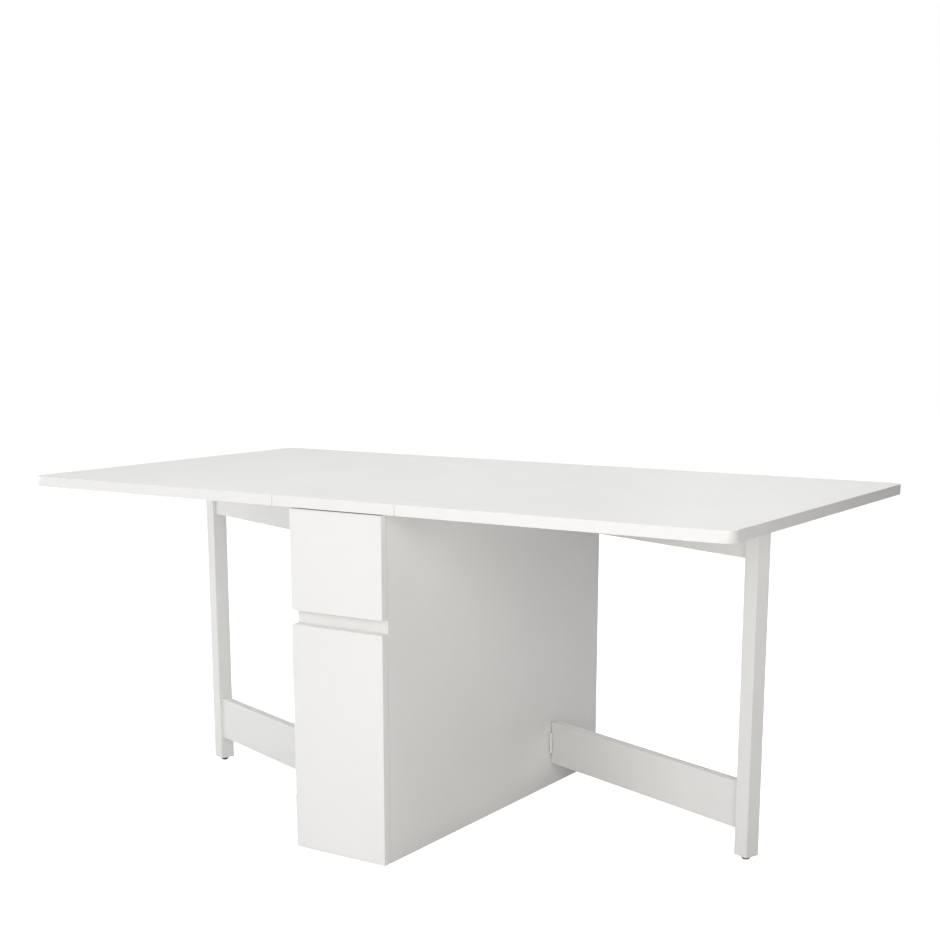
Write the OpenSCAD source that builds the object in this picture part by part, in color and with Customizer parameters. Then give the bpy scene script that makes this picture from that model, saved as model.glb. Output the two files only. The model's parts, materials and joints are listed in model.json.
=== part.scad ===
// Gateleg table: a narrow cabinet with a drawer and a door carries the middle of the top,
// and a swinging gate on each long side holds up a hinged leaf.
// +X runs along the top, the drawer and the door face -Y, +Z is up, and the origin is on
// the floor under the middle of the top. All sizes are in millimetres.

/* [Table top] */
// Height of the top surface above the floor
table_h = 740; // [720:5:770]
// Length of the whole top with both leaves up
top_l = 1680; // [1620:10:1740]
// Width of the top
top_w = 900; // [890:10:960]
// Thickness of the top
top_t = 22; // [20:1:28]
// Length of the fixed middle section
center_l = 300; // [300:2:320]
// Gap at each seam between the middle section and a leaf
seam = 1; // [0.6:0.2:2]
// Radius of the outer corners in plan
corner_r = 25; // [10:5:60]

/* [Cabinet] */
// Width of the cabinet over its side panels
cabinet_w = 226; // [220:2:232]
// Length of the cabinet from the drawer front to the back
cabinet_l = 884; // [860:4:884]
// Thickness of the side panels, shelves and back
panel_t = 16; // [15:1:18]
// Gap between the floor and the side panels
floor_gap = 8; // [6:1:10]
// Height of the adjustable shelf above the floor
shelf_z = 250; // [220:5:290]

/* [Drawer and door] */
// Thickness of the drawer front and the door
front_t = 18; // [16:1:19]
// Gap between the fronts and the cabinet behind them
front_gap = 2; // [2:0.5:3]
// Gap between the drawer front and the table top
front_top_gap = 3; // [2:1:5]
// Height of the drawer front
drawer_front_h = 206; // [203:1:210]
// Height of the finger gap between the drawer front and the door
finger_gap = 29; // [26:1:32]
// Depth of the drawer box from front to back
drawer_l = 460; // [430:10:480]

/* [Gates] */
// Width and thickness of a gate post
post_t = 35; // [30:1:36]
// Thickness of the gate rails
rail_t = 22; // [18:1:24]
// Distance from the hinge line to the outer face of the post
gate_l = 628; // [600:1:634]
// Angle by which an open gate stops short of square to the cabinet
gate_short = 20.4; // [18:0.1:24]
// Height of the lower edge of the bottom rail
low_rail_z = 63; // [50:1:80]
// Height of the bottom rail's face
low_rail_h = 99; // [80:1:110]
// Height of the top rail's face
high_rail_h = 88; // [70:1:100]
// Diameter of the round glide under a post
glide_d = 20; // [16:1:24]

/* [Hidden] */
$fn = 48;
fine = 96;

// Levels and outlines that follow from the sizes above
underside = table_h - top_t;
half_w = cabinet_w / 2;
inner_w = half_w - panel_t;
front_y = -cabinet_l / 2;
carcass_y = front_y + front_t + front_gap;
back_y = cabinet_l / 2;
back_in_y = back_y - panel_t;
drawer_front_top = underside - front_top_gap;
drawer_front_z = drawer_front_top - drawer_front_h;
door_top = drawer_front_z - finger_gap;
door_z = floor_gap;

// Horizontal members of the cabinet
bottom_z = 14;
divider_z = door_top + 2;
strip_z = door_top - 14;
strip_h = 60;
top_rail_w = 80;
top_rail_z = underside - panel_t;

// Drawer box and its three-part telescopic runners
drawer_wall = 12;
runner_w = 12.5;
drawer_half = inner_w - runner_w;
drawer_in = drawer_half - drawer_wall;
drawer_z = drawer_front_z + 25;
drawer_top = top_rail_z - 12;
drawer_base_z = drawer_z + 11;
drawer_base_t = 4;
groove = 6;
runner_l = drawer_l - 10;
runner_h = 45;
runner_z = drawer_z + 58;
runner_t = 1.4;
runner_y = carcass_y + 1;

// Butt hinges: the plate lies hinge_off behind the pin's axis
hinge_len = 50;
hinge_off = 4;
hinge_t = 1.5;
hinge_clear = 5.7;
knuckle_r = 3.4;
knuckle_end = 14;
knuckle_gap = 0.3;
pin_r = 1.5;
pin_clear = 0.05;
side_hinge_w = 18;
leaf_hinge_w = 30;
leaf_hinge_y = [-330, 0, 330];
leaf_knuckle_r = 3;
door_hinge_z = [70, 370];

// Countersunk screw, used for every hinge, runner and stop block
screw_r = 1.7;
screw_head_r = 3;
screw_head_h = 1.3;
screw_l = 13;

// Gates: the hinge line is beside the cabinet, and the rails lie gate_set_back behind it
gate_axis_x = half_w + hinge_off;
gate_axis_y = 213;
gate_set_back = 4;
gate_inner = -(hinge_off - hinge_t);
post_v = gate_set_back - (post_t - rail_t) / 2;
gate_top = underside - 9;
high_rail_z = gate_top - high_rail_h;
post_z = 9;
post_u = gate_l - post_t;
rail_mid_v = gate_set_back + rail_t / 2;
pad_r = 11;
part_gap = 0.3;
gate_hinge_z = [low_rail_z + (low_rail_h - hinge_len) / 2, high_rail_z + (high_rail_h - hinge_len) / 2];
gate_dowel_r = 5;
gate_dowel_l = 40;
gate_dowel_z = [low_rail_z + 25, low_rail_z + low_rail_h - 25,
                high_rail_z + 22, high_rail_z + high_rail_h - 22];

// Stop block under a leaf, against the back of the gate's top rail
stop_u = 470;
stop_l = 70;
stop_w = 20;
stop_h = 30;

// Cam fittings and dowels, as [y, z] of each joint line on the side panels
cam_r = 7.5;
cam_h = 12.5;
cam_back = 24;
cam_bolt_r = 3.5;
cam_bolt_l = cam_back - cam_r - 0.5;
cam_thread_r = 2.5;
dowel_r = 4;
dowel_in = 20;
dowel_out = 10;
bottom_mid = bottom_z + panel_t / 2;
divider_mid = divider_z + panel_t / 2;
top_rail_mid = top_rail_z + panel_t / 2;
cam_places = [[-380, bottom_mid], [380, bottom_mid], [-360, divider_mid], [380, divider_mid],
              [carcass_y + 22, top_rail_mid], [back_in_y - 22, top_rail_mid]];
dowel_places = [[-320, bottom_mid], [320, bottom_mid], [-320, divider_mid], [320, divider_mid],
                [carcass_y + 60, top_rail_mid], [back_in_y - 60, top_rail_mid],
                [carcass_y + panel_t / 2, strip_z + 10], [carcass_y + panel_t / 2, strip_z + strip_h - 10],
                [back_y - panel_t / 2, 60], [back_y - panel_t / 2, 300], [back_y - panel_t / 2, 600]];

// Screws that hold the middle section of the top down on the top rails
top_screw_x = [-40, 40];
top_screw_y = [carcass_y + 40, back_in_y - 40];
top_screw_r = 2.2;
top_screw_head_r = 4.5;
top_screw_head_h = 2.5;
top_screw_l = 30;

// Adjustable shelf and its pins
shelf_pin_r = 2.5;
shelf_pin_in = 8;
shelf_pin_y = [-300, 330];
shelf_hole_step = 32;
shelf_front_y = carcass_y + 22;
shelf_play = 1;

// Glides: those of the cabinet stand under its bottom panel, set in from the side panels
cabinet_glide_r = 9;
cabinet_glide_in = 17;
cabinet_glide_y = [-403, 0, 403];
nail_r = 1.2;
nail_l = 12;
glide_stem_r = 4;
glide_stem_l = 15;

// Magnetic catch for the door
catch_w = 14;
catch_l = 25;
catch_h = 36;
catch_z = door_top - 56;
strike_t = 1;
strike_h = 30;
bumper_r = 4;
bumper_t = front_gap - part_gap;

// ---- Shared shapes ----

// A block between two opposite corners
module slab(lo, hi) translate(lo) cube(hi - lo);

// The same thing on the other side of the cabinet, turned half round the vertical axis
module on_side(side) rotate([0, 0, side == "left" ? 180 : 0]) children();

// The same thing mirrored to both side panels
module both_walls() {
    children();
    mirror([1, 0, 0]) children();
}

// A countersunk screw with its head's top at the origin, pointing along +Z
module screw(length = screw_l) {
    cylinder(r1 = screw_head_r, r2 = screw_r, h = screw_head_h);
    cylinder(r = screw_r, h = length);
}

// Knuckle spans along the pin of the fixed half and of the moving half of a hinge
fixed_spans = [[0, knuckle_end], [hinge_len - knuckle_end, hinge_len]];
moving_spans = [[knuckle_end + knuckle_gap, hinge_len - knuckle_end - knuckle_gap]];

// Places of a hinge's screws, as [distance from the pin, place along the pin]
function screw_places(width) =
    let (near = hinge_clear + 6.5, far = min(width - 5, near + 9))
    [[near, 8], [far, hinge_len / 2], [near, hinge_len - 8]];

// Screws of one hinge half. outward = 1 has the heads on the pin's side of the plate.
module hinge_screws(width, outward = 1)
    for (p = screw_places(width))
        translate([outward > 0 ? hinge_t - hinge_off : -hinge_off, p[0], p[1]])
            rotate([0, -90 * outward, 0]) screw();

// One half of a butt hinge. Its pin runs up the Z axis, and its plate reaches along +Y.
module hinge_half(spans, width, bore_r, barrel_r = knuckle_r, outward = 1)
    difference() {
        union() {
            translate([-hinge_off, hinge_clear, 0]) cube([hinge_t, width - hinge_clear, hinge_len]);
            for (s = spans) {
                translate([-hinge_off, 0, s[0]]) cube([hinge_t, hinge_clear, s[1] - s[0]]);
                translate([0, 0, s[0]]) cylinder(r = barrel_r, h = s[1] - s[0]);
            }
        }
        translate([0, 0, -1]) cylinder(r = bore_r, h = hinge_len + 2);
        hinge_screws(width, outward);
    }

module hinge_pin() cylinder(r = pin_r, h = hinge_len);

// Where the hinges sit
module at_leaf_hinges(side)
    for (y = leaf_hinge_y)
        on_side(side) translate([center_l / 2, y + hinge_len / 2, underside - hinge_off])
            rotate([0, 90, -90]) children();

module at_gate(side)
    on_side(side) translate([gate_axis_x, gate_axis_y, 0]) rotate([0, 0, -gate_short]) children();

module at_gate_hinges(side)
    for (z = gate_hinge_z) at_gate(side) translate([0, 0, z]) children();

module at_gate_hinge_bases(side)
    for (z = gate_hinge_z) on_side(side) translate([gate_axis_x, gate_axis_y, z]) children();

module at_door_hinges()
    for (z = door_hinge_z)
        mirror([1, 0, 0]) translate([half_w + hinge_off, carcass_y - 1, z]) children();

// A cylinder along +X from one point
module rod_x(r, from, length) translate(from) rotate([0, 90, 0]) cylinder(r = r, h = length);

// ---- Holes shared by a panel and the fittings in it ----

// reach is how far a bolt, or the bore for it, goes into the board from the wall
module cam_bolts_in_wall(reach = cam_bolt_l)
    for (p = cam_places) {
        rod_x(cam_bolt_r, [inner_w - reach, p[0], p[1]], reach);
        rod_x(cam_thread_r, [inner_w, p[0], p[1]], dowel_out);
    }

module cams_in_panels()
    for (p = cam_places)
        translate([inner_w - cam_back, p[0], p[1] - panel_t / 2]) cylinder(r = cam_r, h = cam_h);

module dowels_in_wall()
    for (p = dowel_places) rod_x(dowel_r, [inner_w - dowel_in, p[0], p[1]], dowel_in + dowel_out);

module shelf_pin_holes()
    for (y = shelf_pin_y, k = [-2:2])
        rod_x(shelf_pin_r, [inner_w, y, shelf_z - shelf_pin_r + k * shelf_hole_step], shelf_pin_in + 1);

module cabinet_glide_nails()
    for (y = cabinet_glide_y)
        translate([inner_w - cabinet_glide_in, y, bottom_z]) cylinder(r = nail_r, h = nail_l);

module top_screw_shapes()
    for (x = top_screw_x, y = top_screw_y) translate([x, y, top_rail_z]) {
        cylinder(r = top_screw_head_r, h = top_screw_head_h);
        cylinder(r = top_screw_r, h = top_screw_l);
    }

module runner_wall_screws()
    for (d = [30, runner_l / 2, runner_l - 30])
        translate([inner_w - runner_t, runner_y + d, runner_z + runner_h / 2]) rotate([0, 90, 0]) screw();

module runner_drawer_screws()
    for (d = [40, runner_l / 2, runner_l - 40])
        translate([drawer_half + runner_t, runner_y + d, runner_z + runner_h / 2])
            rotate([0, -90, 0]) screw(10);

module drawer_back_screws()
    for (z = [drawer_base_z + 35, drawer_top - 30])
        translate([drawer_half, carcass_y - front_gap + drawer_l - drawer_wall / 2, z])
            rotate([0, -90, 0]) screw(40);

module drawer_front_dowels()
    for (z = [drawer_z + 30, drawer_top - 30])
        translate([drawer_in + drawer_wall / 2, carcass_y - front_gap - 11, z])
            rotate([-90, 0, 0]) cylinder(r = 3, h = 31);

// ---- Top ----

module panel_white() color([0.94, 0.93, 0.91]) children();
module steel() color([0.72, 0.73, 0.74]) children();
module white_steel() color([0.90, 0.90, 0.88]) children();

module top_center() panel_white() difference() {
    slab([-(center_l - seam) / 2, -top_w / 2, underside], [(center_l - seam) / 2, top_w / 2, table_h]);
    top_screw_shapes();
    for (side = ["right", "left"])
        at_leaf_hinges(side) mirror([0, 1, 0]) hinge_screws(leaf_hinge_w);
}

module leaf(side) panel_white() difference() {
    on_side(side) {
        slab([(center_l + seam) / 2, -top_w / 2, underside], [top_l / 2 - corner_r, top_w / 2, table_h]);
        slab([top_l / 2 - corner_r - 1, corner_r - top_w / 2, underside],
             [top_l / 2, top_w / 2 - corner_r, table_h]);
        for (y = [corner_r - top_w / 2, top_w / 2 - corner_r])
            translate([top_l / 2 - corner_r, y, underside]) cylinder(r = corner_r, h = top_t, $fn = fine);
    }
    leaf_screws(side);
}

module leaf_hinge_center_plates() steel()
    for (side = ["right", "left"]) at_leaf_hinges(side) mirror([0, 1, 0])
        hinge_half(fixed_spans, leaf_hinge_w, pin_r, leaf_knuckle_r);

module leaf_hinge_plates(side) steel()
    at_leaf_hinges(side) hinge_half(moving_spans, leaf_hinge_w, pin_r + pin_clear, leaf_knuckle_r);

module leaf_hinge_pins() steel()
    for (side = ["right", "left"]) at_leaf_hinges(side) hinge_pin();

module leaf_screws(side) steel() {
    at_leaf_hinges(side) hinge_screws(leaf_hinge_w);
    stop_screws(side);
}

module stop_screws(side)
    for (d = [15, stop_l - 15])
        at_gate(side) translate([stop_u + d, gate_set_back + rail_t + part_gap + stop_w / 2, underside - stop_h])
            screw(stop_h + screw_l);

module stop_block(side) panel_white() difference() {
    at_gate(side) translate([stop_u, gate_set_back + rail_t + part_gap, underside - stop_h])
        cube([stop_l, stop_w, stop_h]);
    stop_screws(side);
}

// ---- Cabinet ----

// The right-hand wall. The left-hand one is its mirror image, but for the hinges.
module wall_blank() difference() {
    slab([inner_w, carcass_y, floor_gap], [half_w, back_y, underside]);
    cam_bolts_in_wall();
    dowels_in_wall();
    shelf_pin_holes();
    runner_wall_screws();
}

module side_right() panel_white() difference() {
    wall_blank();
    at_gate_hinge_bases("right") hinge_screws(side_hinge_w);
    catch_screws();
}

module side_left() panel_white() difference() {
    mirror([1, 0, 0]) wall_blank();
    at_gate_hinge_bases("left") hinge_screws(side_hinge_w);
    at_door_hinges() hinge_screws(side_hinge_w);
}

// A board between the walls, with the holes for its cams, bolts and dowels
module cross_board(y0, y1, z0, z1) difference() {
    slab([-inner_w, y0, z0], [inner_w, y1, z1]);
    both_walls() {
        cams_in_panels();
        cam_bolts_in_wall(cam_back);
        dowels_in_wall();
    }
}

module back_panel() panel_white() cross_board(back_in_y, back_y, floor_gap, underside);

module bottom_panel() panel_white() difference() {
    cross_board(carcass_y, back_in_y, bottom_z, bottom_z + panel_t);
    both_walls() cabinet_glide_nails();
}

module middle_shelf() panel_white()
    cross_board(carcass_y + panel_t, back_in_y, divider_z, divider_z + panel_t);

module middle_rail() panel_white()
    cross_board(carcass_y, carcass_y + panel_t, strip_z, strip_z + strip_h);

module top_rails() panel_white() difference() {
    union() {
        cross_board(carcass_y, carcass_y + top_rail_w, top_rail_z, underside);
        cross_board(back_in_y - top_rail_w, back_in_y, top_rail_z, underside);
    }
    top_screw_shapes();
}

module adjustable_shelf() panel_white()
    slab([shelf_play - inner_w, shelf_front_y, shelf_z],
         [inner_w - shelf_play, back_in_y - shelf_play, shelf_z + panel_t]);

module shelf_pins() steel() both_walls()
    for (y = shelf_pin_y)
        rod_x(shelf_pin_r, [inner_w - shelf_pin_in, y, shelf_z - shelf_pin_r], 2 * shelf_pin_in);

module cabinet_glides() color([0.92, 0.92, 0.90]) both_walls() {
    cabinet_glide_nails();
    for (y = cabinet_glide_y)
        translate([inner_w - cabinet_glide_in, y, 0]) cylinder(r = cabinet_glide_r, h = bottom_z);
}

module cam_locks() steel() both_walls() cams_in_panels();
module cam_bolts() steel() both_walls() cam_bolts_in_wall();
module cabinet_dowels() color([0.82, 0.68, 0.45]) both_walls() dowels_in_wall();
module top_screws() steel() top_screw_shapes();

module side_hinge_plates() white_steel() {
    for (side = ["right", "left"])
        at_gate_hinge_bases(side) hinge_half(fixed_spans, side_hinge_w, pin_r);
    at_door_hinges() hinge_half(fixed_spans, side_hinge_w, pin_r);
}

module side_hinge_pins() white_steel() {
    for (side = ["right", "left"]) at_gate_hinge_bases(side) hinge_pin();
    at_door_hinges() hinge_pin();
}

module cabinet_screws() steel() {
    for (side = ["right", "left"]) {
        at_leaf_hinges(side) mirror([0, 1, 0]) hinge_screws(leaf_hinge_w);
        at_gate_hinge_bases(side) hinge_screws(side_hinge_w);
    }
    at_door_hinges() hinge_screws(side_hinge_w);
    both_walls() runner_wall_screws();
    catch_screws();
}

// ---- Telescopic runners ----

// A channel along Y, open towards -X, with its back at x1
module channel(x0, x1, inset) difference() {
    slab([x0, runner_y, runner_z + inset], [x1, runner_y + runner_l, runner_z + runner_h - inset]);
    slab([x0 - 1, runner_y - 1, runner_z + inset + runner_t],
         [x1 - runner_t, runner_y + runner_l + 1, runner_z + runner_h - inset - runner_t]);
}

module runner_outer() steel() both_walls() difference() {
    channel(inner_w - 8, inner_w, 0);
    runner_wall_screws();
}

module runner_middle() steel() both_walls() channel(inner_w - 10.5, inner_w - 3, 4);

module runner_inner() steel() both_walls() difference() {
    translate([2 * drawer_half + 7, 0, 0]) mirror([1, 0, 0]) channel(drawer_half, drawer_half + 7, 8);
    runner_drawer_screws();
}

// ---- Drawer ----

module drawer_front() panel_white() difference() {
    slab([-half_w, front_y, drawer_front_z], [half_w, front_y + front_t, drawer_front_top]);
    both_walls() drawer_front_dowels();
    drawer_bottom_blank();
}

module drawer_bottom_blank()
    slab([-drawer_in - groove, front_y + front_t - groove, drawer_base_z],
         [drawer_in + groove, front_y + front_t + drawer_l, drawer_base_z + drawer_base_t]);

module drawer_sides() color([0.90, 0.90, 0.89]) both_walls() difference() {
    slab([drawer_in, front_y + front_t, drawer_z], [drawer_half, front_y + front_t + drawer_l, drawer_top]);
    drawer_bottom_blank();
    drawer_front_dowels();
    drawer_back_screws();
    runner_drawer_screws();
}

module drawer_back() color([0.90, 0.90, 0.89]) difference() {
    slab([-drawer_in, front_y + front_t + drawer_l - drawer_wall, drawer_base_z + drawer_base_t],
         [drawer_in, front_y + front_t + drawer_l, drawer_top]);
    both_walls() drawer_back_screws();
}

module drawer_bottom() color([0.90, 0.90, 0.89]) drawer_bottom_blank();
module drawer_dowels() color([0.82, 0.68, 0.45]) both_walls() drawer_front_dowels();

module drawer_screws() steel() both_walls() {
    drawer_back_screws();
    runner_drawer_screws();
}

// ---- Door ----

module door_panel() panel_white() difference() {
    slab([-half_w, front_y, door_z], [half_w, front_y + front_t, door_top]);
    door_screws();
}

module door_hinge_plates() white_steel()
    at_door_hinges() mirror([0, 1, 0]) hinge_half(moving_spans, side_hinge_w, pin_r + pin_clear);

module door_screws() steel() {
    at_door_hinges() mirror([0, 1, 0]) hinge_screws(side_hinge_w);
    for (dz = [7, strike_h - 7])
        translate([inner_w - catch_w / 2, front_y + front_t + strike_t, catch_z + 3 + dz])
            rotate([90, 0, 0]) screw(screw_l - 1);
}

module catch_plate() steel() difference() {
    slab([inner_w - catch_w + 1, front_y + front_t, catch_z + 3],
         [inner_w - 1, front_y + front_t + strike_t, catch_z + 3 + strike_h]);
    door_screws();
}

module catch_screws()
    for (dz = [8, catch_h - 8])
        translate([inner_w - catch_w, carcass_y + catch_l - 8, catch_z + dz])
            rotate([0, 90, 0]) screw(catch_w + screw_l - 3);

module door_catch() color([0.92, 0.92, 0.90]) difference() {
    slab([inner_w - catch_w, carcass_y - front_gap + strike_t + part_gap, catch_z],
         [inner_w, carcass_y + catch_l, catch_z + catch_h]);
    catch_screws();
}

module door_bumpers() color([0.85, 0.86, 0.86])
    for (z = [door_z + 40, door_top - 8], x = [half_w - panel_t / 2, -half_w + panel_t / 2])
        translate([x, front_y + front_t, z]) rotate([-90, 0, 0]) cylinder(r = bumper_r, h = bumper_t);

// ---- Gates, drawn along the gate from the hinge line and turned into place ----

module gate_dowel_shapes()
    for (z = gate_dowel_z) rod_x(gate_dowel_r, [post_u - gate_dowel_l / 2, rail_mid_v, z], gate_dowel_l);

module gate_hinge_screws()
    for (z = gate_hinge_z) translate([0, 0, z]) hinge_screws(side_hinge_w, -1);

module gate_rail(z, h) difference() {
    slab([gate_inner, gate_set_back, z], [post_u, gate_set_back + rail_t, z + h]);
    gate_dowel_shapes();
    gate_hinge_screws();
}

module glide_stem()
    translate([post_u + post_t / 2, rail_mid_v, post_z]) cylinder(r = glide_stem_r, h = glide_stem_l);

module gate_post(side) panel_white() at_gate(side) difference() {
    slab([post_u, post_v, post_z], [gate_l, post_v + post_t, gate_top]);
    gate_dowel_shapes();
    glide_stem();
}

module gate_top_rail(side) panel_white() at_gate(side) gate_rail(high_rail_z, high_rail_h);
module gate_bottom_rail(side) panel_white() at_gate(side) gate_rail(low_rail_z, low_rail_h);

module gate_hinge_plates(side) white_steel()
    at_gate_hinges(side) hinge_half(moving_spans, side_hinge_w, pin_r + pin_clear, outward = -1);

module gate_screws(side) steel() at_gate(side) gate_hinge_screws();
module gate_dowels(side) color([0.82, 0.68, 0.45]) at_gate(side) gate_dowel_shapes();

module gate_glide(side) color([0.10, 0.10, 0.10]) at_gate(side) {
    glide_stem();
    translate([post_u + post_t / 2, rail_mid_v, 0]) cylinder(r = glide_d / 2, h = post_z);
}

module gate_pad(side) color([0.10, 0.10, 0.10]) at_gate(side)
    translate([post_u + post_t / 2, rail_mid_v, gate_top])
        cylinder(r = pad_r, h = underside - gate_top - part_gap);

top_center();
side_right();
side_left();
back_panel();
bottom_panel();
middle_shelf();
middle_rail();
top_rails();
adjustable_shelf();
shelf_pins();
cabinet_glides();
cam_locks();
cam_bolts();
cabinet_dowels();
top_screws();
runner_outer();
leaf_hinge_center_plates();
leaf_hinge_pins();
side_hinge_plates();
side_hinge_pins();
cabinet_screws();
door_catch();
leaf("right");  // leaf_right
leaf_hinge_plates("right");  // leaf_hinge_plates_right
leaf_screws("right");  // leaf_screws_right
stop_block("right");  // stop_block_right
leaf("left");  // leaf_left
leaf_hinge_plates("left");  // leaf_hinge_plates_left
leaf_screws("left");  // leaf_screws_left
stop_block("left");  // stop_block_left
gate_post("right");  // gate_post_right
gate_top_rail("right");  // gate_top_rail_right
gate_bottom_rail("right");  // gate_bottom_rail_right
gate_hinge_plates("right");  // gate_hinge_plates_right
gate_screws("right");  // gate_screws_right
gate_dowels("right");  // gate_dowels_right
gate_glide("right");  // gate_glide_right
gate_pad("right");  // gate_pad_right
gate_post("left");  // gate_post_left
gate_top_rail("left");  // gate_top_rail_left
gate_bottom_rail("left");  // gate_bottom_rail_left
gate_hinge_plates("left");  // gate_hinge_plates_left
gate_screws("left");  // gate_screws_left
gate_dowels("left");  // gate_dowels_left
gate_glide("left");  // gate_glide_left
gate_pad("left");  // gate_pad_left
drawer_front();
drawer_sides();
drawer_back();
drawer_bottom();
drawer_dowels();
drawer_screws();
runner_inner();
runner_middle();
door_panel();
door_hinge_plates();
door_screws();
catch_plate();
door_bumpers();
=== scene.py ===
"""Looks of a white gateleg table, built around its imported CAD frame.

Boards keep their CAD meshes and get eased edges and a melamine finish. Screws, cams, glides,
the door catch and the drawer runners' balls are small turned and moulded pieces of their own.
"""
import json
import math
import bmesh
import bpy
from mathutils import Matrix, Vector


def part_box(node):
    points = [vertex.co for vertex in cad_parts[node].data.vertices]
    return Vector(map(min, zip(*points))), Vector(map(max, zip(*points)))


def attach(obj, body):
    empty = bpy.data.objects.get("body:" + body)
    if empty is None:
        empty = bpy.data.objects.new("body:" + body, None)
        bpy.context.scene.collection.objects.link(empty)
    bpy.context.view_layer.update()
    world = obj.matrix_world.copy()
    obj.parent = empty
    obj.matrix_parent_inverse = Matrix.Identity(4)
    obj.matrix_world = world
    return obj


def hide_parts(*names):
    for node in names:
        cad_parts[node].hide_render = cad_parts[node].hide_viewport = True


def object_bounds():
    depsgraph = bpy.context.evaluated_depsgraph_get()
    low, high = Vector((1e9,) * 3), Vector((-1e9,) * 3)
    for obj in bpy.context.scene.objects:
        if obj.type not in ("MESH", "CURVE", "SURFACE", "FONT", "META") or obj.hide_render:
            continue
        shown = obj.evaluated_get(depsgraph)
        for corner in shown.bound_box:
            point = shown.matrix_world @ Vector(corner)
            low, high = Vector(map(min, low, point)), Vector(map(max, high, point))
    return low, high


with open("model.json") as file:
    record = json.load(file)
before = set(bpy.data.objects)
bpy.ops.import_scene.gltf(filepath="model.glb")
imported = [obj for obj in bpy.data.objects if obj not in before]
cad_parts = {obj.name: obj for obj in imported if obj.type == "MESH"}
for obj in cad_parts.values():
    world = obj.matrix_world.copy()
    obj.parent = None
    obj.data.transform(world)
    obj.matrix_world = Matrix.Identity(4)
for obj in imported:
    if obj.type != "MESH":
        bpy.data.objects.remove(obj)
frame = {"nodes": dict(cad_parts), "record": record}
CAD_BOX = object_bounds()
NODES = frame["nodes"]
RECORD = frame["record"]
SLOTS = {m["slot"]: m for m in RECORD["materials"]}
NODE_SLOT = {s["node"]: s["material_slot"] for s in RECORD["subparts"]}
BODY_OF = {node: body for body, nodes in RECORD["behaviour"]["bodies"].items() for node in nodes}

# Camera: where it stands, where it looks, and its lens
CAMERA_PLACE = (1.8668, -2.8330, 1.0908)
CAMERA_AZIMUTH = math.radians(32.961)
CAMERA_ELEVATION = math.radians(12.167)
CAMERA_LENS = 59.55
CAMERA_SENSOR = 36.0
CAMERA_SHIFT_Y = 0.1915
CAMERA_REACH = 60

# The floor: half its width, its own glow, and the share of light it throws back up
FLOOR_HALF = 14
FLOOR_GLOW = 1.0
FLOOR_BOUNCE = 0.8

# Studio light: the even light from all round, and the soft boxes as
# (azimuth, elevation, size, power, colour), all at one distance from the middle of the table
AMBIENT = 0.12
AIM_HEIGHT = 0.45
LIGHT_DISTANCE = 3.6
SOFT_BOXES = {
    "front": (-20, 12, 1.8, 22, (1, 1, 1)),
    "front_right": (15, 12, 1.8, 6, (1, 1, 1)),
    "key": (-17, 40, 1.8, 25, (1, 1, 1)),
    "left": (-80, 12, 1.8, 33, (1, 1, 1)),
    "right": (46, 12, 1.8, 43, (1, 0.98, 0.95)),
    "top": (0, 90, 2.5, 56, (1, 1, 1)),
    "back": (180, 40, 2.5, 34, (1, 1, 1)),
    "back_left": (-135, 40, 2.5, 18, (1, 1, 1)),
}

# Part of a noise's range over which a colour runs from its low to its high end
RAMP_START = 0.3
RAMP_END = 0.7

# Board finishes: the two whites, the roughness of a face and how much it varies, how much
# smoother the edging strip is, and the height of the pearled texture
WHITE = (0.86, 0.857, 0.845)
FOIL = (0.82, 0.82, 0.815)
FACE_ROUGHNESS = 0.42
FACE_RUB = 0.06
STRIP_SMOOTHER = 0.07
PEARL_HEIGHT = 0.00001

# The boards of the top share one outline, with round corners
TOP_NODES = ("top_center", "leaf_right", "leaf_left")
TOP_BOX = (Vector((CAD_BOX[0].x, CAD_BOX[0].y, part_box("top_center")[0].z)), CAD_BOX[1])
TOP_CORNER = 0.025

# The edging strip's thickness, and the half width, strength and darkness of its joint line
EDGING = 0.001
JOINT_LINE = 0.0001
JOINT_STRENGTH = 0.25
JOINT_TONE = 0.6

# How squarely a board's face looks along its thin side, and a length greater than any board's
FACE_SQUARE = 0.9
BEYOND = 10.0

# How much an edge is eased, by the kind of piece, and from which angle an edge is sharp
BOARD_EDGE = 0.0007
METAL_EDGE = 0.00015
PLASTIC_EDGE = 0.0005
EASE_SEGMENTS = 3
EASE_FROM = math.radians(35)
SHARP_FROM = math.radians(32)

# Tolerances: for vertices that are one, for points at one level and for a point on a surface
WELD_GAP = 0.00001
LEVEL_GAP = 0.00002
TOUCH_GAP = 0.0001

# Rounds in which a slender solid's axis is refined
AXIS_ROUNDS = 12

# Sides of a turned screw, disc, glide and hole, and steps of a glide's dome
SCREW_SIDES = 24
DISC_SIDES = 40
GLIDE_SIDES = 48
HOLE_SIDES = 32
DOME_STEPS = 8

# Cross recesses: how much the blades narrow towards their tips, and their start above the head
RECESS_TAPER = 0.45
RECESS_START = 0.0001

# Threads: a screw's root and pitch and a glide's root, as shares of the outer radius, the
# plain length under a screw's head, and the plain tips of a glide's stem and nail
SCREW_ROOT = 0.76
SCREW_PITCH = 0.8
STEM_ROOT = 0.86
PLAIN_NECK = 0.0012
STEM_TIP = 0.0005
NAIL_TIP = 0.002

# Door catch: the pole plates' thickness, where they stand across it, and how far they stick out
POLE_THICKNESS = 0.0016
POLE_SHARES = (0.3, 0.7)
POLE_LIP = 0.0008
CATCH_ROUNDING = 0.0012

# Drawer runners: the thickness of their sheet and the depths of the channels
RUNNER_WALL = 0.0014
CHANNEL_OUTER = 0.008
CHANNEL_MIDDLE = 0.0075

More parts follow.
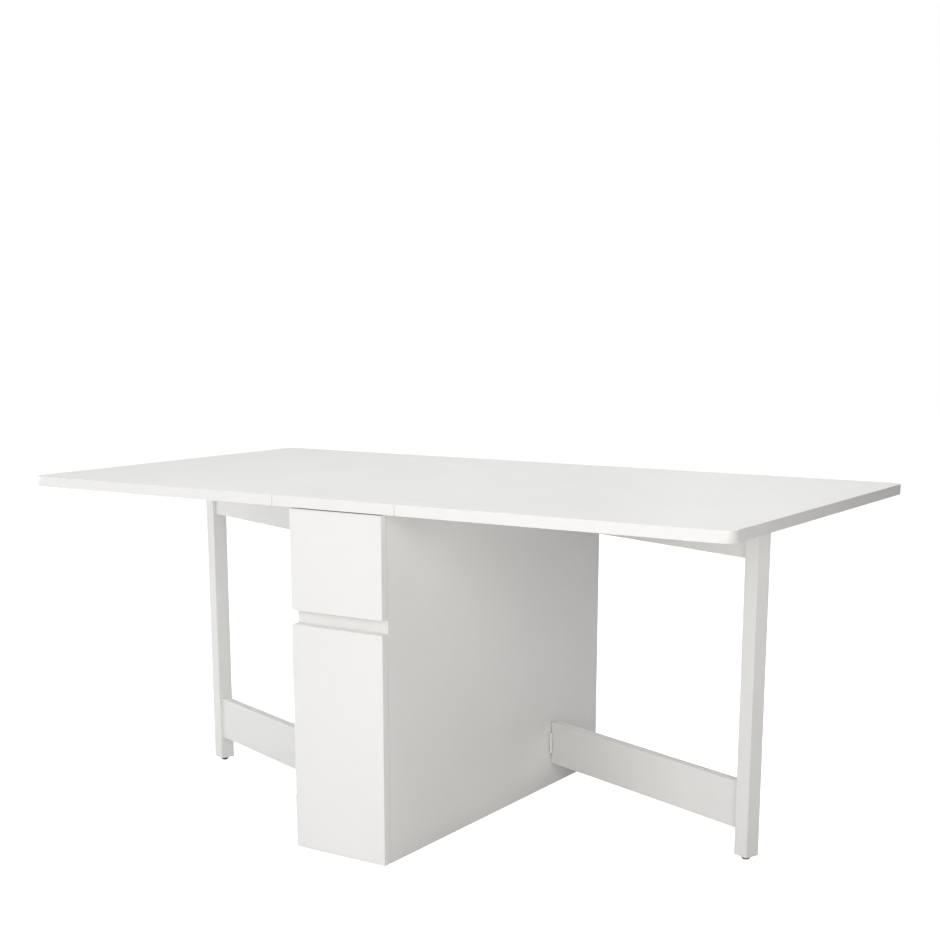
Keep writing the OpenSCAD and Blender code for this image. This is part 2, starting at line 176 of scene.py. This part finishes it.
# Ball cages: the strip's thickness, the balls in a row and their play, the reach of the strip's
# lips in ball radii, and a cage's length and near end as shares of the outer channel's length
CAGE_STRIP = 0.0004
CAGE_BALLS = 7
BALL_PLAY = 0.00005
CAGE_LIP = 1.6
CAGE_LENGTH = 0.31
CAGE_OUTER_START = 0.67
CAGE_MIDDLE_START = 0.02


# ---- Shader helpers ----

def new_material(name):
    """A material with only a shader and its output."""
    mat = bpy.data.materials.new(name)
    mat.use_nodes = True
    tree = mat.node_tree
    tree.nodes.clear()
    output = tree.nodes.new("ShaderNodeOutputMaterial")
    shader = tree.nodes.new("ShaderNodeBsdfPrincipled")
    tree.links.new(shader.outputs["BSDF"], output.inputs["Surface"])
    return mat, tree, shader


def noise(tree, scale, detail=2.0, stretch=(1, 1, 1)):
    """Noise in the object's own metres. scale is in features per metre."""
    coords = tree.nodes.new("ShaderNodeTexCoord")
    mapping = tree.nodes.new("ShaderNodeMapping")
    mapping.inputs["Scale"].default_value = stretch
    texture = tree.nodes.new("ShaderNodeTexNoise")
    texture.inputs["Scale"].default_value = scale
    texture.inputs["Detail"].default_value = detail
    tree.links.new(coords.outputs["Object"], mapping.inputs["Vector"])
    tree.links.new(mapping.outputs["Vector"], texture.inputs["Vector"])
    return texture.outputs["Fac"]


def ramp(tree, fac, low, high):
    """A colour that runs from low to high over the middle of the noise's range."""
    node = tree.nodes.new("ShaderNodeValToRGB")
    node.color_ramp.elements[0].position = RAMP_START
    node.color_ramp.elements[1].position = RAMP_END
    node.color_ramp.elements[0].color = (*low, 1)
    node.color_ramp.elements[1].color = (*high, 1)
    tree.links.new(fac, node.inputs["Fac"])
    return node.outputs["Color"]


def spread(tree, fac, low, high):
    """A number that runs from low to high with fac."""
    node = tree.nodes.new("ShaderNodeMapRange")
    node.inputs["To Min"].default_value = low
    node.inputs["To Max"].default_value = high
    tree.links.new(fac, node.inputs["Value"])
    return node.outputs["Result"]


def bump(tree, height, distance, normal=None):
    """A bump of that depth in metres, on top of another one if given."""
    node = tree.nodes.new("ShaderNodeBump")
    node.inputs["Strength"].default_value = 1.0
    node.inputs["Distance"].default_value = distance
    tree.links.new(height, node.inputs["Height"])
    if normal is not None:
        tree.links.new(normal, node.inputs["Normal"])
    return node.outputs["Normal"]


def tint(color, factor):
    """A colour made that much lighter or darker."""
    return tuple(c * factor for c in color)


def math_node(tree, operation, first, second=0.0):
    """A number worked out from sockets or plain numbers."""
    node = tree.nodes.new("ShaderNodeMath")
    node.operation = operation
    for socket, value in zip(node.inputs, (first, second)):
        if isinstance(value, float):
            socket.default_value = value
        else:
            tree.links.new(value, socket)
    return node.outputs["Value"]


def vector_node(tree, operation, first, second=None):
    """The vector node of one operation on a socket, with a plain vector as its second value."""
    node = tree.nodes.new("ShaderNodeVectorMath")
    node.operation = operation
    tree.links.new(first, node.inputs[0])
    if second is not None:
        node.inputs[1].default_value = second
    return node


def mix_color(tree, fac, first, second):
    """A mix of two colours, each a socket or a plain colour."""
    node = tree.nodes.new("ShaderNodeMix")
    node.data_type = "RGBA"
    tree.links.new(fac, node.inputs["Factor"])
    color_a, color_b = [socket for socket in node.inputs if socket.type == "RGBA"]
    for socket, value in ((color_a, first), (color_b, second)):
        if isinstance(value, tuple):
            socket.default_value = (*value, 1)
        else:
            tree.links.new(value, socket)
    return next(socket for socket in node.outputs if socket.type == "RGBA")


def thin_axis(box):
    """The axis along which a board is thinnest."""
    size = box[1] - box[0]
    return size.to_tuple().index(min(size))


def outline_distance(tree, box, radius):
    """How far a point lies inside a board's outline, seen along its thin side, with round corners."""
    low, high = box
    thin = thin_axis(box)
    half = [BEYOND if k == thin else (high - low)[k] / 2 - radius for k in range(3)]
    point = tree.nodes.new("ShaderNodeTexCoord").outputs["Object"]
    centred = vector_node(tree, "SUBTRACT", point, (low + high) / 2)
    folded = vector_node(tree, "ABSOLUTE", centred.outputs["Vector"])
    past = vector_node(tree, "SUBTRACT", folded.outputs["Vector"], half)
    outside = vector_node(tree, "MAXIMUM", past.outputs["Vector"])
    corner = vector_node(tree, "LENGTH", outside.outputs["Vector"])
    axes = tree.nodes.new("ShaderNodeSeparateXYZ")
    tree.links.new(past.outputs["Vector"], axes.inputs["Vector"])
    across, along = [axes.outputs[k] for k in range(3) if k != thin]
    deepest = math_node(tree, "MINIMUM", math_node(tree, "MAXIMUM", across, along))
    signed = math_node(tree, "ADD", corner.outputs["Value"], deepest)
    return math_node(tree, "SUBTRACT", radius, signed)


# ---- Materials ----

def melamine(name, box, color, radius=0.0):
    """A melamine-faced board: a pearled face, a smoother edging strip and the joint line between."""
    mat, tree, shader = new_material(name)
    normal = tree.nodes.new("ShaderNodeSeparateXYZ")
    tree.links.new(tree.nodes.new("ShaderNodeTexCoord").outputs["Normal"], normal.inputs["Vector"])
    facing = math_node(tree, "ABSOLUTE", normal.outputs[thin_axis(box)])
    face = math_node(tree, "GREATER_THAN", facing, FACE_SQUARE)

    depth = outline_distance(tree, box, radius)
    off_line = math_node(tree, "ABSOLUTE", math_node(tree, "SUBTRACT", depth, EDGING))
    on_line = math_node(tree, "LESS_THAN", off_line, JOINT_LINE)
    joint = math_node(tree, "MULTIPLY", on_line, JOINT_STRENGTH)
    tone = ramp(tree, noise(tree, 5, 3), tint(color, 0.985), tint(color, 1.01))
    edging = ramp(tree, noise(tree, 40, 2), tint(color, 0.99), tint(color, 1.005))
    faced = mix_color(tree, joint, tone, tint(color, JOINT_TONE))
    tree.links.new(mix_color(tree, face, edging, faced), shader.inputs["Base Color"])

    rubbed = spread(tree, noise(tree, 22, 4), FACE_ROUGHNESS - FACE_RUB, FACE_ROUGHNESS + FACE_RUB)
    strip = math_node(tree, "MULTIPLY", math_node(tree, "SUBTRACT", 1.0, face), STRIP_SMOOTHER)
    tree.links.new(math_node(tree, "SUBTRACT", rubbed, strip), shader.inputs["Roughness"])

    pearl = math_node(tree, "MULTIPLY", noise(tree, 1400, 2), face)
    fine = bump(tree, pearl, PEARL_HEIGHT)
    coarse = bump(tree, noise(tree, 320, 2), PEARL_HEIGHT * 1.5, fine)
    tree.links.new(coarse, shader.inputs["Normal"])
    shader.inputs["Specular IOR Level"].default_value = 0.4
    return mat


def zinc(name, color):
    """Zinc-plated steel: fine crystal mottling, rolling lines and a soft metal sheen."""
    mat, tree, shader = new_material(name)
    shader.inputs["Metallic"].default_value = 1.0
    mottle = noise(tree, 900, 5)
    tree.links.new(ramp(tree, mottle, tint(color, 0.86), tint(color, 1.08)), shader.inputs["Base Color"])
    tree.links.new(spread(tree, noise(tree, 450, 4), 0.26, 0.46), shader.inputs["Roughness"])
    lines = noise(tree, 400, 2, (1, 1, 14))
    tree.links.new(bump(tree, lines, 0.00002), shader.inputs["Normal"])
    return mat


def powder_coat(name, color):
    """White powder coat on steel: a fine orange-peel skin over the metal."""
    mat, tree, shader = new_material(name)
    tone = ramp(tree, noise(tree, 300, 3), tint(color, 0.97), tint(color, 1.02))
    tree.links.new(tone, shader.inputs["Base Color"])
    tree.links.new(spread(tree, noise(tree, 500, 3), 0.3, 0.42), shader.inputs["Roughness"])
    tree.links.new(bump(tree, noise(tree, 1800, 2), 0.00001), shader.inputs["Normal"])
    return mat


def moulded(name, color, roughness, grain):
    """Moulded plastic with a fine spark-eroded grain."""
    mat, tree, shader = new_material(name)
    tone = ramp(tree, noise(tree, 260, 3), tint(color, 0.97), tint(color, 1.02))
    tree.links.new(tone, shader.inputs["Base Color"])
    rubbed = spread(tree, noise(tree, 700, 3), roughness - 0.08, roughness + 0.08)
    tree.links.new(rubbed, shader.inputs["Roughness"])
    tree.links.new(bump(tree, noise(tree, 2600, 3), grain), shader.inputs["Normal"])
    return mat


def beech(name, color):
    """Bare beech with a fine grain along the dowel."""
    mat, tree, shader = new_material(name)
    grain = noise(tree, 900, 6, (0.06, 1, 1))
    tree.links.new(ramp(tree, grain, tint(color, 0.72), tint(color, 1.1)), shader.inputs["Base Color"])
    shader.inputs["Roughness"].default_value = 0.62
    tree.links.new(bump(tree, grain, 0.0001), shader.inputs["Normal"])
    return mat


def clear_rubber(name, color):
    """Clear soft polyurethane, a little milky."""
    mat, tree, shader = new_material(name)
    tree.links.new(ramp(tree, noise(tree, 500, 2), tint(color, 0.95), color), shader.inputs["Base Color"])
    shader.inputs["Transmission Weight"].default_value = 0.7
    shader.inputs["IOR"].default_value = 1.49
    tree.links.new(spread(tree, noise(tree, 900, 2), 0.12, 0.25), shader.inputs["Roughness"])
    return mat


def slot_color(slot):
    """The colour that the record gives a slot."""
    return tuple(SLOTS[slot]["base_color"])


FINISHES = {
    "steel": zinc("zinc_steel", slot_color("steel")),
    "white_steel": powder_coat("white_powder_coat", (0.83, 0.83, 0.82)),
    "black_plastic": moulded("black_plastic", (0.012, 0.012, 0.013), roughness=0.5, grain=0.00001),
    "white_plastic": moulded("white_plastic", (0.80, 0.80, 0.78), roughness=0.4, grain=0.000006),
    "beech": beech("beech", slot_color("beech")),
    "clear_bumper": clear_rubber("clear_bumper", slot_color("clear_bumper")),
}
BOARD_COLORS = {"white_board": WHITE, "drawer_board": FOIL}
TOP_FINISH = melamine("top_melamine", TOP_BOX, WHITE, radius=TOP_CORNER)


def board_finish(node, slot):
    """The boards of the top share one finish; every other board has its own, fitted to its outline."""
    if node in TOP_NODES:
        return TOP_FINISH
    return melamine(node + "_melamine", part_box(node), BOARD_COLORS[slot])


def paint(obj, finish):
    """Gives obj that finish and no other."""
    obj.data.materials.clear()
    obj.data.materials.append(finish)


# ---- Finishes and eased edges of the CAD pieces ----

def ease(obj, width):
    """Joins the split vertices of a CAD mesh and rounds its sharp edges off."""
    weld = obj.modifiers.new("join", "WELD")
    weld.merge_threshold = WELD_GAP
    bevel = obj.modifiers.new("ease", "BEVEL")
    bevel.width = width
    bevel.segments = EASE_SEGMENTS
    bevel.limit_method = "ANGLE"
    bevel.angle_limit = EASE_FROM
    bevel.use_clamp_overlap = False
    bevel.loop_slide = False
    bevel.harden_normals = True


EDGES = {
    "steel": METAL_EDGE,
    "white_steel": METAL_EDGE,
    "black_plastic": PLASTIC_EDGE,
    "white_plastic": PLASTIC_EDGE,
}

for name, obj in NODES.items():
    slot = NODE_SLOT[name]
    paint(obj, board_finish(name, slot) if slot in BOARD_COLORS else FINISHES[slot])
    ease(obj, EDGES.get(slot, BOARD_EDGE))


# ---- Measuring the CAD solids ----

def solids(node):
    """The separate solids of a CAD node, each as a list of its points, in a fixed order."""
    bm = bmesh.new()
    bm.from_mesh(NODES[node].data)
    bmesh.ops.remove_doubles(bm, verts=bm.verts, dist=WELD_GAP)
    bm.verts.ensure_lookup_table()
    seen = set()
    found = []
    for start in bm.verts:
        if start.index in seen:
            continue
        seen.add(start.index)
        reached = [start]
        for vert in reached:
            for other in (edge.other_vert(vert) for edge in vert.link_edges):
                if other.index not in seen:
                    seen.add(other.index)
                    reached.append(other)
        found.append([vert.co.copy() for vert in reached])
    bm.free()
    return found


def corners(points):
    """The lowest and the highest corner of the box around points."""
    low = Vector(min(p[k] for p in points) for k in range(3))
    high = Vector(max(p[k] for p in points) for k in range(3))
    return low, high


def long_axis(points):
    """The direction in which a slender solid is longest."""
    middle = sum(points, Vector()) / len(points)
    far = max(points, key=lambda p: (p - middle).length)
    direction = (far - middle).normalized()
    for _ in range(AXIS_ROUNDS):
        pull = sum(((p - middle).dot(direction) * (p - middle) for p in points), Vector())
        direction = pull.normalized()
    return direction


def screw_place(points):
    """(matrix, head radius, shank radius, length) of a countersunk screw, from its head's top."""
    direction = long_axis(points)
    along = [p.dot(direction) for p in points]
    ends = []
    for level in (min(along), max(along)):
        ring = [p for p, t in zip(points, along) if abs(t - level) < LEVEL_GAP]
        middle = sum(ring, Vector()) / len(ring)
        ends.append((max((p - middle).length for p in ring), middle))
    ends.sort(key=lambda end: end[0], reverse=True)
    (head_r, head), (shank_r, tip) = ends
    turn = (tip - head).to_track_quat("Z", "Y").to_matrix().to_4x4()
    return Matrix.Translation(head) @ turn, head_r, shank_r, (tip - head).length


# ---- Shapes ----

def lathe(profile, segments):
    """A turned shape from (radius, height) pairs. It starts and ends on the axis."""
    bm = bmesh.new()
    rings = []
    for radius, height in profile:
        steps = segments if radius > 0 else 1
        angles = [2 * math.pi * k / segments for k in range(steps)]
        places = [(radius * math.cos(a), radius * math.sin(a), height) for a in angles]
        rings.append([bm.verts.new(place) for place in places])
    for low, high in zip(rings, rings[1:]):
        for k in range(segments):
            n = (k + 1) % segments
            lower = [low[k], low[n]] if len(low) > 1 else [low[0]]
            upper = [high[n], high[k]] if len(high) > 1 else [high[0]]
            bm.faces.new(lower + upper)
    bmesh.ops.recalc_face_normals(bm, faces=bm.faces)
    return bm


def rounded_block(low, high, radius=0.0):
    """A box between two corners, with rounded edges if radius is given."""
    bm = bmesh.new()
    bmesh.ops.create_cube(bm, size=1.0)
    for vert in bm.verts:
        vert.co = Vector(high[k] if vert.co[k] > 0 else low[k] for k in range(3))
    if radius > 0:
        bmesh.ops.bevel(bm, geom=bm.edges[:], offset=radius, segments=3, profile=0.5, affect="EDGES")
    return bm


def blade(size_x, size_y, depth):
    """A blade that narrows with depth, from just above the top of a head."""
    bm = bmesh.new()
    bmesh.ops.create_cube(bm, size=1.0)
    for vert in bm.verts:
        share = RECESS_TAPER if vert.co.z > 0 else 1.0
        vert.co = Vector((vert.co.x * size_x * share, vert.co.y * size_y * share, (vert.co.z + 0.5) * depth))
        vert.co += Vector((0, 0, -RECESS_START))
    return bm


def cross_cutters(reach, width, depth):
    """Two blades that cut a cross recess down from the top of a head."""
    return [blade(reach, width, depth), blade(width, reach, depth)]


def threads(radius, low, high, turns):
    """Profile points of a plain screw thread between two heights."""
    pitch = (high - low) / turns
    root = radius * STEM_ROOT
    points = []
    for k in range(turns):
        base = low + k * pitch
        points += [(root, base + pitch * 0.1), (radius, base + pitch * 0.5), (root, base + pitch * 0.9)]
    return points


def as_object(bm, name):
    """An object in the scene from bm, which it uses up."""
    mesh = bpy.data.meshes.new(name)
    bm.to_mesh(mesh)
    bm.free()
    obj = bpy.data.objects.new(name, mesh)
    bpy.context.scene.collection.objects.link(obj)
    return obj


def carve(body, name, cutters=()):
    """The mesh of body with the cutters taken out of it."""
    solid = as_object(body, name)
    tools = [as_object(cutter, name + "_cutter") for cutter in cutters]
    for tool in tools:
        cut = solid.modifiers.new("cut", "BOOLEAN")
        cut.object = tool
        cut.solver = "EXACT"
    bpy.context.view_layer.update()
    depsgraph = bpy.context.evaluated_depsgraph_get()
    mesh = bpy.data.meshes.new_from_object(solid.evaluated_get(depsgraph))
    for extra in [solid, *tools]:
        bpy.data.objects.remove(extra)
    return mesh


def gather(name, placed, node, body, slot):
    """One piece from placed (mesh, matrix) pairs. It rides on body and stands for the node, if any."""
    bm = bmesh.new()
    for mesh, matrix in placed:
        verts_before = len(bm.verts)
        faces_before = len(bm.faces)
        bm.from_mesh(mesh)
        bm.verts.ensure_lookup_table()
        bm.faces.ensure_lookup_table()
        bmesh.ops.transform(bm, matrix=matrix, verts=bm.verts[verts_before:])
        if matrix.determinant() < 0:
            bmesh.ops.reverse_faces(bm, faces=bm.faces[faces_before:])
    piece = as_object(bm, name)
    piece.data.polygons.foreach_set("use_smooth", [True] * len(piece.data.polygons))
    piece.data.set_sharp_from_angle(angle=SHARP_FROM)
    paint(piece, FINISHES[slot])
    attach(piece, body)
    if node is not None:
        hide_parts(node)


# ---- Small turned and moulded pieces ----

def screw_mesh(head_r, shank_r, length):
    """A countersunk screw with a cross recess and a rolled thread, its head's top at the origin."""
    head_h = head_r - shank_r
    root = shank_r * SCREW_ROOT
    crest = shank_r * 0.98
    neck = head_h + PLAIN_NECK
    pitch = shank_r * SCREW_PITCH
    tip = 2.5 * shank_r
    profile = [(0, 0), (head_r * 0.93, 0), (head_r * 0.985, head_r * 0.05), (shank_r * 0.95, head_h)]
    profile.append((shank_r * 0.9, neck))
    turns = int((length - tip - neck) / pitch)
    for k in range(turns):
        base = neck + k * pitch
        profile += [(root, base + pitch * 0.2), (root, base + pitch * 0.5), (crest, base + pitch * 0.8)]
    profile += [(root, length - tip), (0, length)]
    recess = cross_cutters(head_r * 1.15, head_r * 0.24, head_h * 0.85)
    return carve(lathe(profile, SCREW_SIDES), "screw", recess)


SCREW_MESHES = {}


def screws_for(node):
    """All screws of a CAD node. Screws of one size share a mesh."""
    placed = []
    for points in solids(node):
        matrix, head_r, shank_r, length = screw_place(points)
        key = tuple(round(v, 5) for v in (head_r, shank_r, length))
        if key not in SCREW_MESHES:
            SCREW_MESHES[key] = screw_mesh(*key)
        placed.append((SCREW_MESHES[key], matrix))
    gather(node + "_cross_head", placed, node, BODY_OF[node], "steel")


def cams():
    """Cam discs with a cross recess and a chamfered rim, flush with the underside of each board."""
    placed = []
    for points in solids("cam_locks"):
        low, high = corners(points)
        middle = (low + high) / 2
        radius = (high.x - low.x) / 2
        height = high.z - low.z
        rim = radius * 0.08
        profile = [(0, 0), (radius - rim, 0), (radius, rim), (radius, height - rim)]
        profile += [(radius - rim, height), (0, height)]
        recess = cross_cutters(radius * 1.3, radius * 0.26, height * 0.35)
        mesh = carve(lathe(profile, DISC_SIDES), "cam", recess)
        placed.append((mesh, Matrix.Translation((middle.x, middle.y, low.z))))
    gather("cam_locks_slotted", placed, "cam_locks", "cabinet", "steel")


def gate_glides(side):
    """A domed black glide under the post, on a threaded stem."""
    node = "gate_glide_" + side
    low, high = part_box(node)
    middle = (low + high) / 2
    radius = (high.x - low.x) / 2
    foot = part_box("gate_post_" + side)[0].z
    stem = radius * 0.4
    angles = [math.pi / 2 * k / DOME_STEPS for k in range(DOME_STEPS + 1)]
    dome = [(radius * math.sin(a) ** 0.7, foot * 0.65 * (1 - math.cos(a))) for a in angles]
    profile = dome + [(radius, foot * 0.9), (radius * 0.95, foot), (stem, foot)]
    profile += threads(stem, foot, high.z - STEM_TIP, 8) + [(stem * 0.7, high.z), (0, high.z)]
    mesh = carve(lathe(profile, GLIDE_SIDES), "glide")
    placed = [(mesh, Matrix.Translation((middle.x, middle.y, 0)))]
    gather(node + "_domed", placed, node, BODY_OF[node], "black_plastic")


def cabinet_glides():
    """White nail-on glides with a rounded sole."""
    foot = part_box("bottom_panel")[0].z
    placed = []
    for points in solids("cabinet_glides"):
        low, high = corners(points)
        middle = (low + high) / 2
        radius = (high.x - low.x) / 2
        nail = radius * 0.17
        nail_top = high.z - NAIL_TIP
        profile = [(0, 0), (radius * 0.72, 0), (radius * 0.9, foot * 0.06), (radius, foot * 0.22)]
        profile += [(radius, foot * 0.62), (radius * 0.9, foot * 0.85), (radius * 0.62, foot), (nail, foot)]
        profile += threads(nail, foot, nail_top, 5) + [(nail * 0.8, nail_top), (0, high.z)]
        mesh = carve(lathe(profile, DISC_SIDES), "nail_glide")
        placed.append((mesh, Matrix.Translation((middle.x, middle.y, 0))))
    gather("cabinet_glides_nailed", placed, "cabinet_glides", "cabinet", "white_plastic")


def catch_screw_holes(low, high):
    """A countersunk hole for each cabinet screw whose head lies in the catch."""
    holes = []
    for points in solids("cabinet_screws"):
        matrix, head_r, shank_r, length = screw_place(points)
        place = matrix.translation
        if all(low[k] - TOUCH_GAP < place[k] < high[k] + TOUCH_GAP for k in range(3)):
            profile = [(0, -POLE_LIP), (head_r, -POLE_LIP), (head_r, 0)]
            profile += [(shank_r, head_r - shank_r), (shank_r, length), (0, length)]
            hole = lathe(profile, HOLE_SIDES)
            bmesh.ops.transform(hole, matrix=matrix, verts=hole.verts)
            holes.append(hole)
    return holes


def door_catch():
    """A magnetic catch: a rounded housing that holds two pole plates, with a hole for each screw."""
    low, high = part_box("door_catch")
    size = high - low
    lip = Vector((0, POLE_LIP, 0))
    holes = catch_screw_holes(low, high)
    poles = []
    pockets = []
    for share in POLE_SHARES:
        left = low.x + size.x * share - POLE_THICKNESS / 2
        start = Vector((left, low.y, low.z + size.z * 0.2))
        end = Vector((left + POLE_THICKNESS, low.y + size.y * 0.45, high.z - size.z * 0.2))
        poles.append(rounded_block(start, end, POLE_THICKNESS * 0.2))
        pockets.append(rounded_block(start - lip, end))
    housing = carve(rounded_block(low + lip, high, CATCH_ROUNDING), "catch_housing", holes + pockets)
    gather("door_catch_housing", [(housing, Matrix())], "door_catch", "cabinet", "white_plastic")
    plates = [(carve(pole, "pole"), Matrix()) for pole in poles]
    gather("door_catch_poles", plates, None, "cabinet", "steel")


def ball_cage(near, far, web_x, levels, ball_x, radius):
    """Two rows of balls in a bent steel strip. levels are the heights of the rows."""
    half = CAGE_STRIP / 2
    low_row, high_row = levels
    lip_x = ball_x - radius * CAGE_LIP
    outer_x = web_x + half
    parts = [rounded_block(Vector((web_x - half, near, low_row)), Vector((outer_x, far, high_row)))]
    for level in levels:
        lip_low = Vector((lip_x, near, level - half))
        lip_high = Vector((outer_x, far, level + half))
        parts.append(rounded_block(lip_low, lip_high))
        for k in range(CAGE_BALLS):
            ball = bmesh.new()
            along = near + (far - near) * (k + 0.5) / CAGE_BALLS
            place = Matrix.Translation((ball_x, along, level))
            bmesh.ops.create_icosphere(ball, subdivisions=2, radius=radius, matrix=place)
            parts.append(ball)
    return [carve(part, "cage_part") for part in parts]


def ball_cages():
    """The balls and cages of the drawer runners, between the outer, middle and inner channels."""
    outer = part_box("runner_outer")
    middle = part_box("runner_middle")
    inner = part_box("runner_inner")
    length = outer[1].y - outer[0].y
    placed = []
    pairs = (
        (outer, middle, CHANNEL_OUTER, CAGE_OUTER_START),
        (middle, inner, CHANNEL_MIDDLE, CAGE_MIDDLE_START),
    )
    for (around_low, around_high), (_, within_high), depth, start in pairs:
        ceiling = around_high.z - RUNNER_WALL
        web = around_high.x - RUNNER_WALL
        top = (ceiling + within_high.z) / 2
        bottom = around_low.z + around_high.z - top
        radius = (ceiling - within_high.z) / 2 - BALL_PLAY
        near = outer[0].y + length * start
        far = near + length * CAGE_LENGTH
        ball_x = (around_high.x - depth + min(within_high.x, web)) / 2
        cage = ball_cage(near, far, (within_high.x + web) / 2, (bottom, top), ball_x, radius)
        for side in (1, -1):
            placed += [(mesh, Matrix.Diagonal((side, 1, 1, 1))) for mesh in cage]
    gather("runner_ball_cages", placed, None, "runner_carriage", "steel")


for node in NODES:
    if "screws" in node:
        screws_for(node)
door_catch()
ball_cages()
cams()
cabinet_glides()
for side in ("right", "left"):
    gate_glides(side)


# ---- Stage, light and camera ----

def rays_from_camera(tree, seen, lighting):
    """A shader that looks like seen, and lights its surroundings like lighting."""
    rays = tree.nodes.new("ShaderNodeLightPath")
    mix = tree.nodes.new("ShaderNodeMixShader")
    lighting_socket, seen_socket = mix.inputs[1:]
    tree.links.new(rays.outputs["Is Camera Ray"], mix.inputs["Fac"])
    tree.links.new(lighting, lighting_socket)
    tree.links.new(seen, seen_socket)
    return mix.outputs["Shader"]


def stage_floor():
    """A wide pale floor that runs out into the white backdrop and gives back some of the light."""
    mesh = bpy.data.meshes.new("floor")
    bm = bmesh.new()
    bmesh.ops.create_grid(bm, x_segments=1, y_segments=1, size=FLOOR_HALF)
    bm.to_mesh(mesh)
    bm.free()
    floor = bpy.data.objects.new("floor", mesh)
    bpy.context.scene.collection.objects.link(floor)
    mat, tree, shader = new_material("floor_white")
    tone = ramp(tree, noise(tree, 0.8, 2), (0.93, 0.93, 0.93), (0.95, 0.95, 0.95))
    tree.links.new(tone, shader.inputs["Base Color"])
    shader.inputs["Roughness"].default_value = 0.9
    shader.inputs["Specular IOR Level"].default_value = 0.0
    shader.inputs["Emission Color"].default_value = (1, 1, 1, 1)
    shader.inputs["Emission Strength"].default_value = FLOOR_GLOW
    dull = tree.nodes.new("ShaderNodeBsdfDiffuse")
    dull.inputs["Color"].default_value = (FLOOR_BOUNCE, FLOOR_BOUNCE, FLOOR_BOUNCE, 1)
    output = tree.nodes["Material Output"]
    seen = rays_from_camera(tree, shader.outputs["BSDF"], dull.outputs["BSDF"])
    tree.links.new(seen, output.inputs["Surface"])
    mesh.materials.append(mat)


def soft_box(name, azimuth, elevation, size, power, color):
    """A square soft box that faces the middle of the table. Azimuth 0 is in front of the drawer."""
    data = bpy.data.lights.new(name, "AREA")
    data.shape = "SQUARE"
    data.size = size
    data.energy = power
    data.color = color
    level = math.cos(elevation)
    away = Vector((math.sin(azimuth) * level, -math.cos(azimuth) * level, math.sin(elevation)))
    lamp = bpy.data.objects.new(name, data)
    lamp.location = Vector((0, 0, AIM_HEIGHT)) + away * LIGHT_DISTANCE
    lamp.rotation_mode = "QUATERNION"
    lamp.rotation_quaternion = (-away).to_track_quat("-Z", "Y")
    bpy.context.scene.collection.objects.link(lamp)


def studio_light():
    """An even white backdrop with a weaker light of its own, and the soft boxes."""
    world = bpy.data.worlds.new("studio")
    world.use_nodes = True
    tree = world.node_tree
    tree.nodes.clear()
    output = tree.nodes.new("ShaderNodeOutputWorld")
    ambient = tree.nodes.new("ShaderNodeBackground")
    ambient.inputs["Strength"].default_value = AMBIENT
    backdrop = tree.nodes.new("ShaderNodeBackground")
    backdrop.inputs["Strength"].default_value = 1.0
    for node in (ambient, backdrop):
        node.inputs["Color"].default_value = (1, 1, 1, 1)
    seen = rays_from_camera(tree, backdrop.outputs["Background"], ambient.outputs["Background"])
    tree.links.new(seen, output.inputs["Surface"])
    bpy.context.scene.world = world
    for name, (azimuth, elevation, size, power, color) in SOFT_BOXES.items():
        soft_box(name, math.radians(azimuth), math.radians(elevation), size, power, color)


def place_camera():
    """The camera, upright, with its frame shifted up."""
    data = bpy.data.cameras.new("camera")
    data.lens = CAMERA_LENS
    data.sensor_width = CAMERA_SENSOR
    data.shift_y = CAMERA_SHIFT_Y
    data.clip_end = CAMERA_REACH
    camera = bpy.data.objects.new("camera", data)
    camera.location = CAMERA_PLACE
    camera.rotation_euler = (math.pi / 2 - CAMERA_ELEVATION, 0, CAMERA_AZIMUTH)
    bpy.context.scene.collection.objects.link(camera)
    bpy.context.scene.camera = camera


stage_floor()
studio_light()
place_camera()
bpy.context.scene.view_settings.view_transform = "Standard"

bpy.context.view_layer.update()
